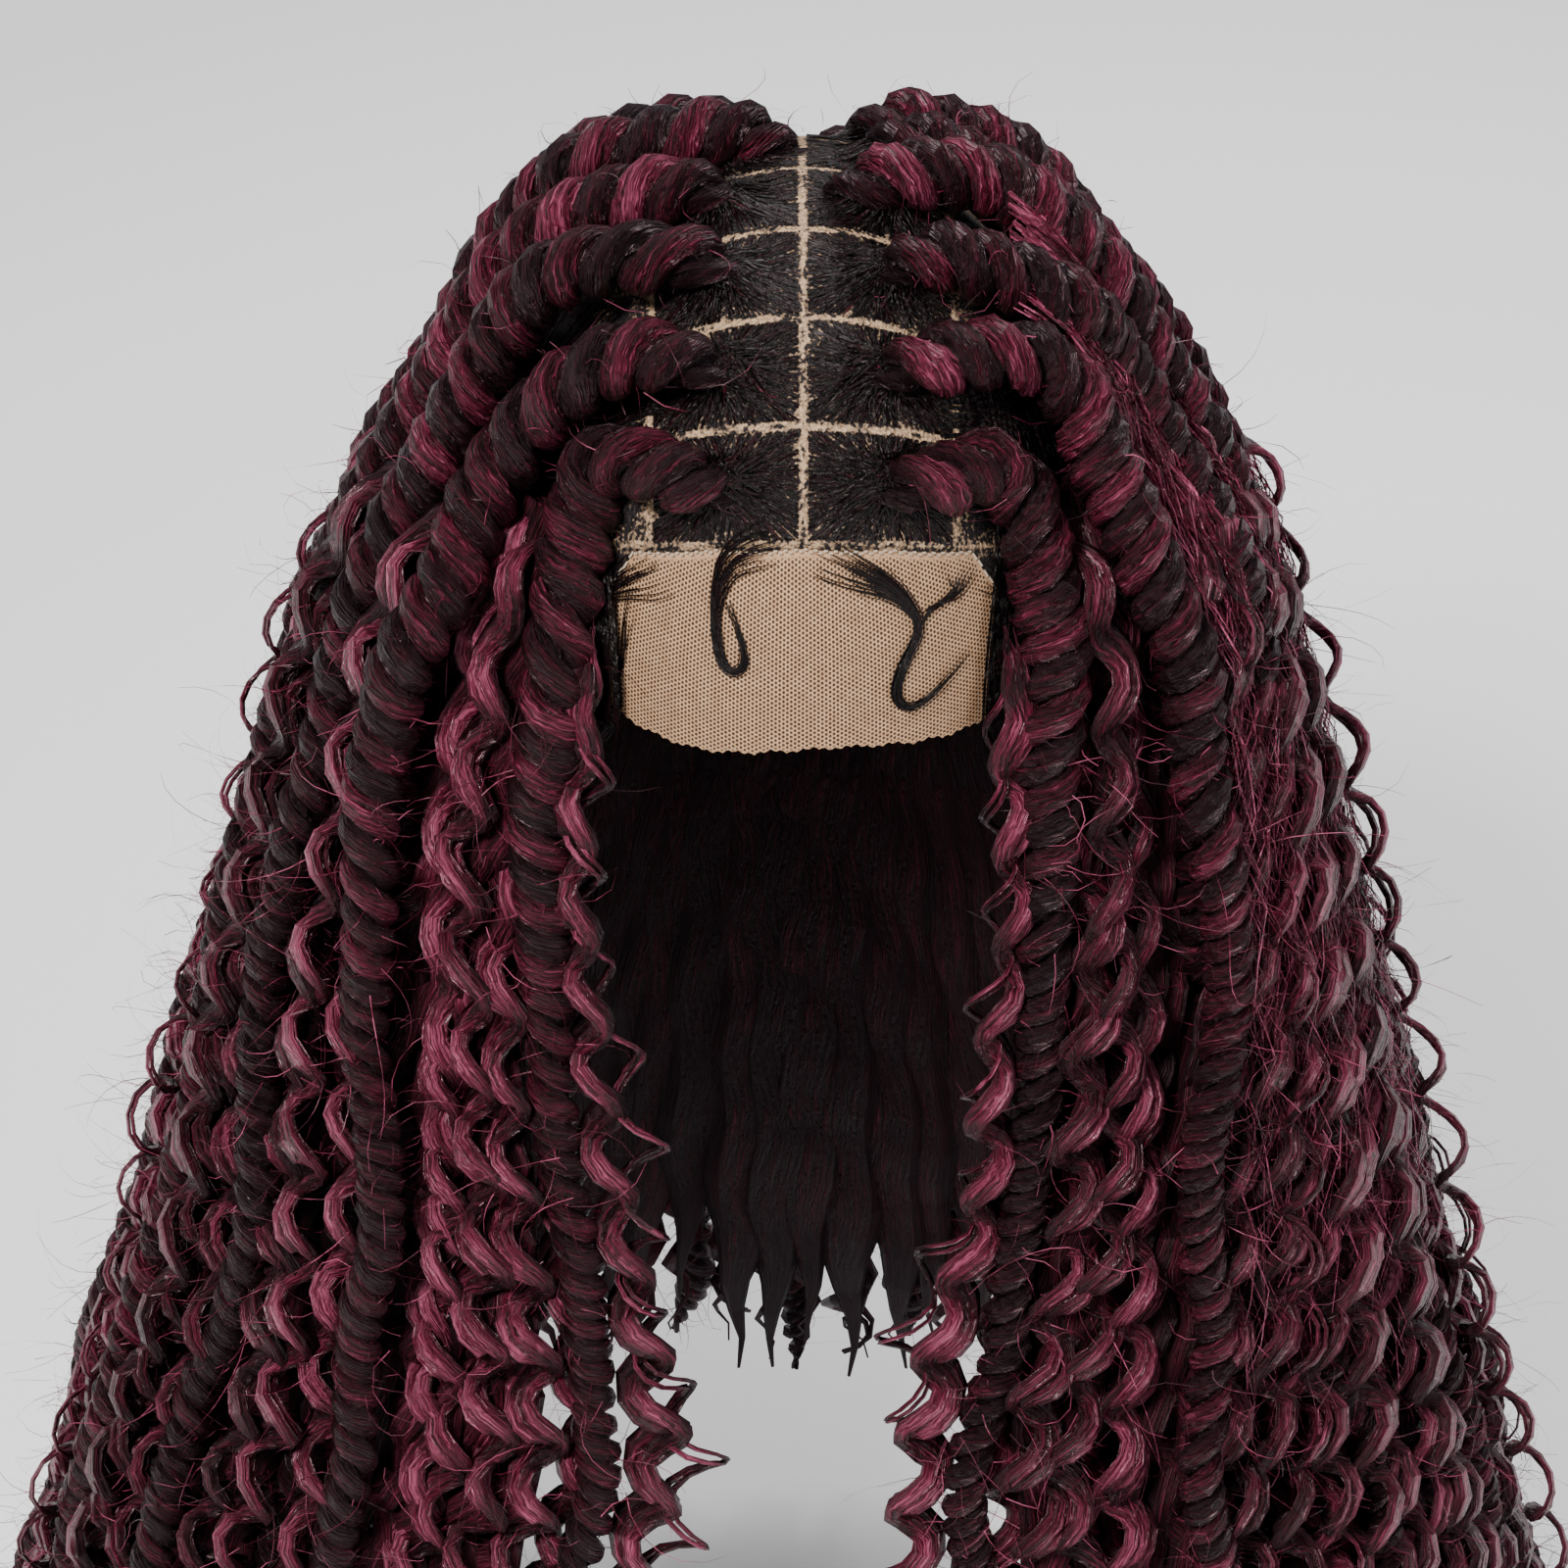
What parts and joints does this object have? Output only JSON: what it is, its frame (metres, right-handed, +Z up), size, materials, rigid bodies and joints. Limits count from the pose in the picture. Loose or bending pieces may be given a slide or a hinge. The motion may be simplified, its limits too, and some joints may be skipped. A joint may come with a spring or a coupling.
{
  "type": "lace-front wig",
  "caption": "Long lace-front wig of two-strand twists with loose wavy locks between them, on an open cap that fits a head.",
  "frame": {"origin": "the inside of the crown, where the top of a head meets the cap", "axes": "+Z up, the face opening towards -Y, +X to the right seen from in front"},
  "size_m": [0.5192, 0.3263, 0.5818],
  "materials": {
    "lace_cap": "black knotted hair on a fine tan lace, matte",
    "lace_front": "fine see-through net, matte tan",
    "twist_hair": "dark wine and black kinky fibre, soft sheen along the strands",
    "under_twist_hair": "dark wine and black kinky fibre, soft sheen along the strands",
    "curl_hair": "burgundy fibre with a silky sheen",
    "under_hair": "packed dark fibre, matte"
  },
  "bodies": {
    "root": {"cap_back": "lace_cap", "cap_crown": "lace_cap", "cap_front": "lace_cap", "cap_left": "lace_cap", "cap_right": "lace_cap", "curl_1_left": "curl_hair", "curl_1_right": "curl_hair", "curl_2_left": "curl_hair", "curl_2_right": "curl_hair", "curl_3_left": "curl_hair", "curl_3_right": "curl_hair", "curl_4_left": "curl_hair", "curl_4_right": "curl_hair", "curl_5_left": "curl_hair", "curl_5_right": "curl_hair", "curl_6_left": "curl_hair", "curl_6_right": "curl_hair", "curl_7_left": "curl_hair", "curl_7_right": "curl_hair", "curl_8_left": "curl_hair", "curl_8_right": "curl_hair", "curl_middle": "curl_hair", "lace_front": "lace_front", "twist_1_left": "twist_hair", "twist_1_right": "twist_hair", "twist_2_left": "twist_hair", "twist_2_right": "twist_hair", "twist_3_left": "twist_hair", "twist_3_right": "twist_hair", "twist_4_left": "twist_hair", "twist_4_right": "twist_hair", "twist_5_left": "twist_hair", "twist_5_right": "twist_hair", "twist_6_left": "twist_hair", "twist_6_right": "twist_hair", "twist_7_left": "twist_hair", "twist_7_right": "twist_hair", "twist_8_left": "twist_hair", "twist_8_right": "twist_hair", "twist_9_left": "twist_hair", "twist_9_right": "twist_hair", "under_hair": "under_hair", "under_twist_1_left": "under_twist_hair", "under_twist_1_right": "under_twist_hair", "under_twist_2_left": "under_twist_hair", "under_twist_2_right": "under_twist_hair", "under_twist_3_left": "under_twist_hair", "under_twist_3_right": "under_twist_hair", "under_twist_4_left": "under_twist_hair", "under_twist_4_right": "under_twist_hair", "under_twist_5_left": "under_twist_hair", "under_twist_5_right": "under_twist_hair", "under_twist_6_left": "under_twist_hair", "under_twist_6_right": "under_twist_hair", "under_twist_7_left": "under_twist_hair", "under_twist_7_right": "under_twist_hair", "under_twist_middle": "under_twist_hair"}
  },
  "joints": []
}
